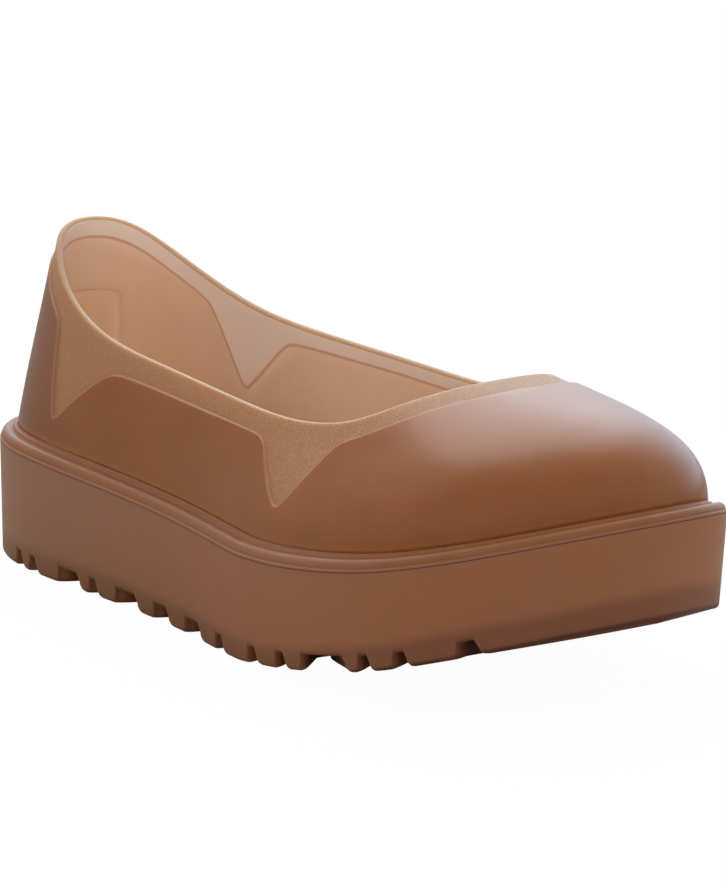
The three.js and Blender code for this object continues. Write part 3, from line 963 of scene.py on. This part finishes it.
def panel_edge(places):
    """Depth of the panels' upper edge below the rim: the band, and the V notches in it."""
    place = np.minimum(places, rib_count - places)
    own_side = np.where(places <= toe_rib, -1, 1)
    depth = band_of(places) * band_width
    for side, back, point, front, share, hook, tip in zip(*(notches[name] for name in notches)):
        back, point, front = rib_at(back), rib_at(point), rib_at(front)
        rising = (place - back) / (point - back)
        bent = 1 - np.maximum(1 - rising, 0.0) ** hook
        rising = np.where((rising > 0) & (rising < 1), bent, rising)
        falling = (front - place) / (front - point)
        deep = notch_depth * share - band_width
        soft = tip / deep
        lesser = (rising + falling - np.hypot(rising - falling, soft)) / 2
        cut = band_width + deep * lesser
        cut = np.where(own_side == side, cut, above_rim)
        depth = (depth + cut + np.hypot(depth - cut, corner_round)) / 2
    return depth


handles = rib_handles(upper_places)
handles_ahead = rib_handles(upper_places + around_nudge)
handles_behind = rib_handles(upper_places - around_nudge)
step_share = np.linspace(0.0, 1.0, length_steps + 1)
step_points = on_rib(handles, np.repeat(step_share[:, None], upper_columns, axis=1))
step_lengths = np.linalg.norm(np.diff(step_points, axis=0), axis=-1)
rib_lengths = np.concatenate([np.zeros((1, upper_columns)), np.cumsum(step_lengths, axis=0)])
full_length = rib_lengths[-1]


def share_below(depth):
    """Share of the way up each rib that lies a depth below its rim."""
    height = np.clip(full_length - depth, 0.0, full_length)
    return np.array(
        [np.interp(height[c], rib_lengths[:, c], step_share) for c in range(upper_columns)]
    )


edge_depth = panel_edge(upper_places)
level_share = share_below(np.full(upper_columns, level_depth))
level_points = on_rib(handles, level_share[None, :])[0]
column_gap = np.linalg.norm(np.roll(level_points, -1, axis=0) - level_points, axis=-1)
edge_rise = np.roll(edge_depth, -1) - edge_depth
edge_slope = (edge_rise + np.roll(edge_rise, 1)) / (column_gap + np.roll(column_gap, 1))
stretch = np.sqrt(1 + edge_slope**2)
for _ in range(3):
    stretch = (np.roll(stretch, 1) + stretch + np.roll(stretch, -1)) / 3

# Rows over the panels' edge, from the panel up to the band: distance up from the edge.
across_step = np.array([-1.6, -1.0, -0.65, -0.42, -0.28, -0.14, 0.0, 0.14, 0.28, 0.42, 0.7, 1.1])
step_lift = panel_rise * (1 - eased((across_step / step_half + 1) / 2))

# Across the label, the rows of the panels pass along its edges.
label_rows = np.array([-0.5, -0.25, 0.0, 0.25, 0.5]) * 2 * label_bevel
heel_foot = full_length[0]
heel_edge = heel_foot - edge_depth[0]
label_low = heel_foot - label_top - label_height
label_high = heel_foot - label_top
panel_heights = np.concatenate(
    [
        np.linspace(0.0, label_low - 1.2, 17),
        label_low + label_rows,
        np.linspace(label_low + 1.6, label_high - 1.6, 9),
        label_high + label_rows,
        np.linspace(label_high + 1.4, heel_edge - 2.6, 9),
    ]
)
panel_shares = panel_heights / (heel_edge + across_step[0])

rib_arc = np.cumsum(column_gap) - column_gap
arc_from_heel = np.where(rib_arc > rib_arc[-1] / 2, rib_arc - rib_arc[-1] - column_gap[-1], rib_arc)


def label_share(depth):
    """How far the label stands out at a depth below the rim: 1 on it, 0 off it."""
    middle = label_top + label_height / 2
    side = np.abs(arc_from_heel) - label_width / 2 + label_corner
    height = np.abs(depth - middle) - label_height / 2 + label_corner
    outside = np.hypot(np.maximum(side, 0), np.maximum(height, 0))
    inside = np.minimum(np.maximum(side, height), 0)
    distance = outside + inside - label_corner
    return 1 - eased((distance + label_bevel / 2) / label_bevel)


rows = []


def add_row(depth, offset, band, near_edge, inside):
    """Adds a row round the shell: its depth below the rim, its offset outwards and its masks."""
    depth = np.broadcast_to(depth, (upper_columns,))
    offset = np.broadcast_to(offset, (upper_columns,))
    rows.append((depth, offset, band, near_edge, inside))


# Rows from the foot up the panels, over their edge and the band to the rim, and down inside.
low_edge = edge_depth - across_step[0] * stretch
for share in panel_shares:
    depth = full_length - share * (full_length - low_edge)
    add_row(depth, panel_rise + label_rise * label_share(depth), 0.0, 0.0, 0.0)
for reach, lift in zip(across_step, step_lift):
    on_edge = math.exp(-((reach + 0.15) / 0.3) ** 2)
    add_row(edge_depth - reach * stretch, lift, 1 - lift / panel_rise, on_edge, 0.0)
low = edge_depth - across_step[-1] * stretch
for share in np.linspace(0.0, 1.0, 14)[1:]:
    add_row(low + (rim_radius - low) * share, 0.0, 1.0, 0.0, 0.0)
for turn in np.linspace(0.0, 180.0, 9)[1:-1]:
    angle = math.radians(turn)
    offset = -rim_radius * (1 - math.cos(angle))
    add_row(rim_radius * (1 - math.sin(angle)), offset, 1.0, 0.0, 0.5)
low = edge_depth - (across_step[-1] + inner_shift) * stretch
for share in np.linspace(0.0, 1.0, 11):
    add_row(rim_radius + (low - rim_radius) * share, -band_wall, 1.0, 0.0, 1.0)
for reach in (0.7, 0.35, 0.0, -0.35, -0.8, -1.6):
    groove = border_groove * math.exp(-((reach / 0.35) ** 2))
    on_edge = math.exp(-((reach / 0.45) ** 2))
    band = float(eased(reach / 1.2 + 0.5))
    depth = edge_depth - (reach + inner_shift) * stretch
    add_row(depth, -band_wall + groove, band, on_edge, 1.0)
for share in panel_shares[::-1]:
    depth = full_length - share * (full_length - low_edge)
    add_row(depth, -band_wall + label_rise * label_share(depth), 0.0, 0.0, 1.0)

row_depth = np.clip(np.array([row[0] for row in rows]), 0.0, full_length)
row_offset = np.array([row[1] for row in rows])
row_share = np.array([share_below(depth) for depth in row_depth])
skin = on_rib(handles, row_share)
round_run = on_rib(handles_ahead, row_share) - on_rib(handles_behind, row_share)
climb = on_rib(handles, np.minimum(row_share + climb_nudge, 1)) - on_rib(
    handles, np.maximum(row_share - climb_nudge, 0)
)


def unit(directions):
    return directions / np.linalg.norm(directions, axis=-1)[:, :, None]


# The wall's direction outwards is level at its foot, so that it seats flat on the welt.
square_out = unit(np.cross(round_run, climb))
level_out = unit(square_out * (1.0, 1.0, 0.0))
by_foot = eased(row_share / foot_share)[:, :, None]
outward = unit(level_out * (1 - by_foot) + square_out * by_foot)

# Soft troughs and ridges where the shell gives a little: beside the ankle, over the waist and
# in front of the mouth. Each is a place along and across the shoe, a reach and a height.
soft_forms = columns_of(
    ("along", "across", "reach_along", "reach_across", "height"),
    [
        (0.30, -0.36, 0.060, 0.30, -0.35),
        (0.44, -0.38, 0.050, 0.30, 0.20),
        (0.31, 0.40, 0.060, 0.30, -0.35),
        (0.45, 0.42, 0.050, 0.30, 0.20),
        (0.80, 0.05, 0.030, 0.25, -0.15),
        (0.06, 0.03, 0.030, 0.30, 0.15),
    ],
)
skin_along = skin[:, :, 0] / shoe_length + 0.5
skin_across = skin[:, :, 1] / ball_width
give = np.zeros_like(row_offset)
for along, over, reach_along, reach_across, height in zip(
    *(soft_forms[name] for name in soft_forms)
):
    far = ((skin_along - along) / reach_along) ** 2 + ((skin_across - over) / reach_across) ** 2
    give += height * np.exp(-far)
give *= eased(row_share / 0.4) * eased(row_depth / 6.0)
upper_sheet = skin + outward * (row_offset + give)[:, :, None]

upper = make_piece(
    "upper_shell",
    upper_sheet.reshape(-1, 3),
    grid_faces(*upper_sheet.shape[:2], True, True),
)
for mask, part in (("frosted_and_lit_through_band", 2), ("panel_border", 3), ("inner_face", 4)):
    set_values(upper, mask, np.repeat([row[part] for row in rows], upper_columns))
set_values(upper, "below_rim", row_depth)
set_values(upper, "above_foot", full_length - row_depth)
set_values(upper, "along_shoe", upper_sheet[:, :, 0] / shoe_length + 0.5)

# Frost: the sparkling pale speckle of the blasted band.
frost_effect, given, put_out = new_effect(
    "mould_frost",
    {"Place": (vector, None), "Size": (number, 1500.0)},
    {"Height": number, "Mask": number},
)
cells = add_node(
    frost_effect, "ShaderNodeTexVoronoi", {"Vector": given["Place"], "Scale": given["Size"]}
)
speckle = noise(frost_effect, given["Place"], given["Size"], 2.0, 0.6)
frost_height = reckon(frost_effect, "MULTIPLY_ADD", cells.outputs["Distance"], -0.6, speckle)
frost_mask = ramp(frost_effect, speckle, 0.45, 0.68)
frost_effect.links.new(frost_height, put_out.inputs["Height"])
frost_effect.links.new(frost_mask, put_out.inputs["Mask"])

upper_material, tree, rubber = new_material("upper translucent rubber")
where = shoe_place(tree)
grain = use_effect(
    tree, grain_effect, {"Place": where, "Grain": 2600.0, "Unevenness": 40.0}
)
frost = use_effect(tree, frost_effect, {"Place": where, "Size": 2300.0})
sparkle = ramp(tree, stored(tree, "along_shoe"), 0.3, 0.7, 0.45, 1.0)
dust = use_effect(tree, dust_effect, {"Place": where, "Amount": 0.25})
band = stored(tree, "frosted_and_lit_through_band")
border = stored(tree, "panel_border")
inner = stored(tree, "inner_face")
below = stored(tree, "below_rim")
above = stored(tree, "above_foot")
along = stored(tree, "along_shoe")
cloudy = ramp(tree, grain["Cloud"], 0.3, 0.7)
panel_colour = mixed(tree, cloudy, tone(168, 100, 38), tone(174, 105, 42))
# Painted shade: the panels darken towards the heel.
heel_shade = ramp(tree, along, 0.22, 0.08)
panel_colour = painted(tree, panel_colour, heel_shade, 0.6, tone(128, 72, 28))
# The band is painted paler than the panels: partly its frosted finish, and partly painted light
# that shines through its thinner wall. Its pale speckle is partly the frost and partly painted
# sparkle, stronger towards the toe.
frosted = reckon(tree, "MULTIPLY", frost["Mask"], sparkle)
band_colour = mixed(tree, frosted, tone(186, 136, 92), tone(210, 167, 131))
outer_colour = mixed(tree, band, panel_colour, band_colour)
# Painted highlight: a pale line along the raised panels' edges.
outer_colour = painted(tree, outer_colour, border, 0.4, tone(200, 170, 144))
# Painted light: the inside face is painted much paler than the outside, for light that shines
# through the shell.
inner_colour = mixed(tree, band, tone(255, 208, 192), tone(252, 212, 202))
# Painted shade: a dark line along the panels' edge on the inside face.
inner_colour = painted(tree, inner_colour, border, 0.5, tone(140, 92, 66))
colour = mixed(tree, ramp(tree, inner, 0.4, 0.9), outer_colour, inner_colour)
# Painted highlight: a pale line along the rounded rim.
rim_highlight = ramp(tree, below, 0.9, 0.5)
colour = painted(tree, colour, rim_highlight, 0.55, tone(198, 164, 138))
# Painted light: the foot of the shell is painted paler near the crease, to lift the shade that
# falls in it.
upper_crease_light = ramp(tree, above, 2.5, 0.2)
colour = painted(tree, colour, upper_crease_light, 0.5, tone(206, 132, 76))
colour = painted(tree, colour, dust["Mask"], 0.2, tone(190, 165, 148))
gloss = ramp(tree, grain["Cloud"], 0.3, 0.7, 0.31, 0.37)
gloss = reckon(tree, "MULTIPLY_ADD", band, 0.2, gloss)
gloss = reckon(tree, "MULTIPLY_ADD", dust["Mask"], 0.12, gloss)
fine_height = reckon(tree, "MULTIPLY", grain["Height"], 0.2)
frost_part = reckon(tree, "MULTIPLY", frost["Height"], reckon(tree, "MULTIPLY", band, sparkle))
height = reckon(tree, "ADD", fine_height, frost_part)
scatter = (1.0, (1.0, 0.85, 0.7), 0.008)
finish_rubber(tree, rubber, colour, gloss, scatter, height, 0.6)
upper.data.materials.append(upper_material)
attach(upper, "root")
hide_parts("upper")

# Studio
# A pale floor, a white room, a large soft box over and behind the shoe, and the camera at the
# angle of the photograph.
floor_reach = 7.0
glow_share = 0.93
room_front = (0.46, 0.445, 0.43, 1.0)
room_back = (0.95, 1.4, 1.75, 1.0)
room_strength = 1.25
box_place = Vector((-0.95, 0.58, 1.12))
box_aim = Vector((0.0, 0.0, 0.05))
box_size = 1.3
box_power = 10.5
camera_turn = math.radians(52.22)
camera_rise = math.radians(12.99)
camera_distance = 2.159
camera_lens = 299.7
camera_target = Vector((0.01179, 0.00337, 0.05508))

floor_mesh = bpy.data.meshes.new("studio_floor")
corners = [(-1, -1), (1, -1), (1, 1), (-1, 1)]
floor_points = [(floor_reach * x, floor_reach * y, 0) for x, y in corners]
floor_mesh.from_pydata(floor_points, [], [(0, 1, 2, 3)])
floor = bpy.data.objects.new("studio_floor", floor_mesh)
bpy.context.scene.collection.objects.link(floor)
floor_material, tree, paper = new_material("white studio paper")
paper_tooth = noise(tree, shoe_place(tree), 90.0, 5.0, 0.5)
paper_colour = mixed(tree, paper_tooth, tone(176, 174, 171), tone(184, 182, 179))
tree.links.new(paper_colour, paper.inputs["Base Color"])
paper.inputs["Roughness"].default_value = 0.9
paper.inputs["Specular IOR Level"].default_value = 0.1
glow = add_node(tree, "ShaderNodeEmission", {"Color": (1.0, 1.0, 1.0, 1.0), "Strength": 1.05})
seen = add_node(tree, "ShaderNodeLightPath").outputs["Is Camera Ray"]
glowing = reckon(tree, "MULTIPLY", seen, glow_share)
lit_paper = add_node(
    tree, "ShaderNodeMixShader", {0: glowing, 1: paper.outputs["BSDF"], 2: glow.outputs["Emission"]}
)
tree.links.new(lit_paper.outputs["Shader"], tree.nodes["Material Output"].inputs["Surface"])
floor_mesh.materials.append(floor_material)
floor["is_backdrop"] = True

world = bpy.data.worlds.new("white room")
bpy.context.scene.world = world
world.use_nodes = True
room = world.node_tree.nodes["Background"]
towards = add_node(world.node_tree, "ShaderNodeTexCoord").outputs["Generated"]
behind = add_node(
    world.node_tree,
    "ShaderNodeVectorMath",
    {0: towards, 1: (-0.5, 0.87, 0.0)},
    operation="DOT_PRODUCT",
).outputs["Value"]
back_share = ramp(world.node_tree, behind, 0.5, 0.95)
wall_colour = mixed(world.node_tree, back_share, room_front, room_back)
world.node_tree.links.new(wall_colour, room.inputs["Color"])
room.inputs["Strength"].default_value = room_strength

light = bpy.data.lights.new("overhead soft box", "AREA")
light.shape = "SQUARE"
light.size = box_size
light.energy = box_power
light.color = (0.93, 0.96, 1.0)
lamp = bpy.data.objects.new("overhead soft box", light)
lamp.location = box_place
lamp.rotation_euler = (box_aim - box_place).to_track_quat("-Z", "Y").to_euler()
bpy.context.scene.collection.objects.link(lamp)

away = Vector(
    (
        math.sin(camera_turn) * math.cos(camera_rise),
        -math.cos(camera_turn) * math.cos(camera_rise),
        math.sin(camera_rise),
    )
)
lens = bpy.data.cameras.new("camera")
lens.lens = camera_lens
lens.sensor_width = 36.0
lens.clip_end = 50.0
camera = bpy.data.objects.new("camera", lens)
camera.location = camera_target + away * camera_distance
camera.rotation_euler = (-away).to_track_quat("-Z", "Y").to_euler()
bpy.context.scene.collection.objects.link(camera)
bpy.context.scene.camera = camera
bpy.context.scene.view_settings.view_transform = "Standard"

dressed_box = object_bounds()
boxes = {"cad": solids_box, "visual": dressed_box}
plain = {name: [list(corner) for corner in box] for name, box in boxes.items()}
